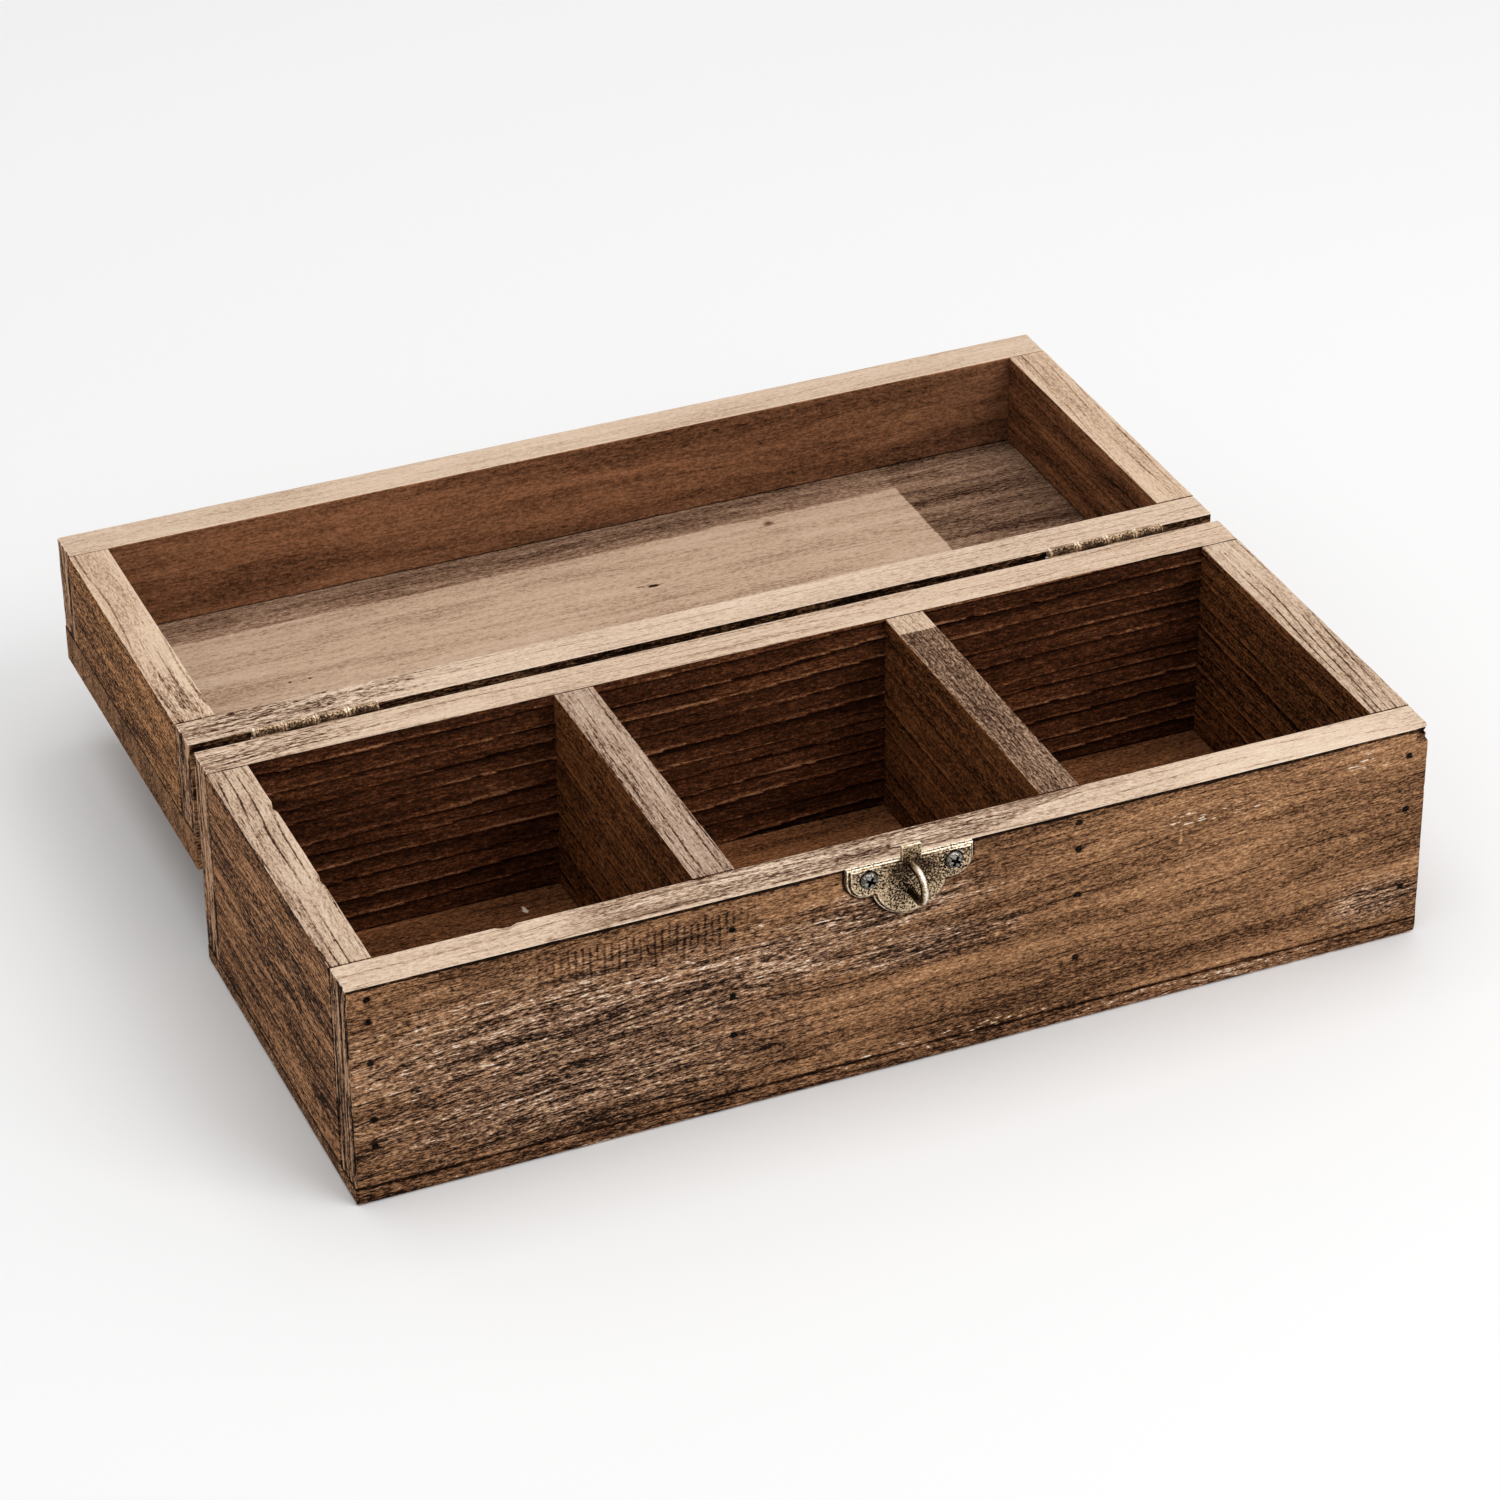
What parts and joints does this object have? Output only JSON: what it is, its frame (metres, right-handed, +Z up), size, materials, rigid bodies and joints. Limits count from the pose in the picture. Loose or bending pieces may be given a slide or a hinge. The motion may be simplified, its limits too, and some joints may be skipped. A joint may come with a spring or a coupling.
{
  "type": "wooden compartment box",
  "caption": "Hinged wooden box with cross dividers forming compartments, a shallow lid that folds back level with the rim on butt hinges, and a brass hasp with a slotted flap.",
  "frame": {"origin": "centre of the base's sole, on the surface that the box stands on", "axes": "+X along the box to the right as seen from its front, +Y to the back where the lid lies open, +Z up"},
  "size_m": [0.3, 0.2575, 0.069],
  "materials": {
    "stained_boards": "walnut stain, satin, rims and part of the lid's inside bare",
    "dividers": "dark stain, rough sawn",
    "panels": "thin brown stain",
    "brad_steel": "dulled",
    "latch_brass": "antique brass",
    "hinge_brass": "worn brass plate"
  },
  "bodies": {
    "base": {"base_front_board": "stained_boards", "base_back_board": "stained_boards", "base_left_board": "stained_boards", "base_right_board": "stained_boards", "left_divider": "dividers", "right_divider": "dividers", "base_bottom_panel": "panels", "base_wall_brads": "brad_steel", "divider_brads": "brad_steel", "bottom_brads": "brad_steel", "latch_plate": "latch_brass", "latch_staple": "latch_brass", "latch_screws": "latch_brass", "left_hinge_base_leaf": "hinge_brass", "right_hinge_base_leaf": "hinge_brass", "left_hinge_pin": "hinge_brass", "right_hinge_pin": "hinge_brass", "hinge_base_screws": "hinge_brass"},
    "lid": {"lid_front_board": "stained_boards", "lid_back_board": "stained_boards", "lid_left_board": "stained_boards", "lid_right_board": "stained_boards", "lid_top_board": "stained_boards", "lid_wall_brads": "brad_steel", "lid_top_brads": "brad_steel", "left_hinge_lid_leaf": "hinge_brass", "right_hinge_lid_leaf": "hinge_brass", "hinge_lid_screws": "hinge_brass", "hasp_plate": "latch_brass", "hasp_pin": "latch_brass", "hasp_screws": "latch_brass"},
    "flap": {"hasp_flap": "latch_brass"}
  },
  "joints": [
    {"name": "lid_hinge", "type": "hinge", "parent": "base", "child": "lid", "pos_m": [0, 0.0613, 0.06515], "axis": [1, 0, 0], "range_deg": [0, 180]},
    {"name": "hasp_hinge", "type": "hinge", "parent": "lid", "child": "flap", "pos_m": [0, 0.1851, 0.0585], "axis": [1, 0, 0], "range_deg": [0, 180]}
  ]
}
